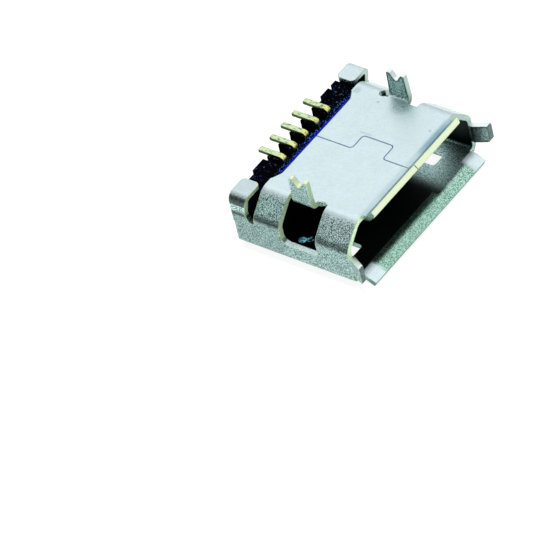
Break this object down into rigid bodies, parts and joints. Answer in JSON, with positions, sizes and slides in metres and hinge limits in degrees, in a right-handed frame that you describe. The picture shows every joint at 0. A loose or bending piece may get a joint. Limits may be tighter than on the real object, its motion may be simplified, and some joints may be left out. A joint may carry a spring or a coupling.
{
  "type": "micro usb socket",
  "caption": "Board-mounted micro USB socket with a flared metal shell, fork legs, folded rear feet, black insulator and gold contact tails.",
  "frame": {"origin": "on the outer face of the cover, on the centre line, in the plane of the mouth edge", "axes": "+Z towards the board side, away from the cover; -Y out of the mouth; +X to the right seen from in front of the mouth"},
  "size_m": [0.0078, 0.0057, 0.0035],
  "materials": {
    "plating": "satin",
    "insulator": "matte",
    "gold": "satin"
  },
  "bodies": {
    "root": {"shell": "plating", "housing": "insulator", "contact_1": "gold", "contact_2": "gold", "contact_3": "gold", "contact_4": "gold", "contact_5": "gold"}
  },
  "joints": []
}
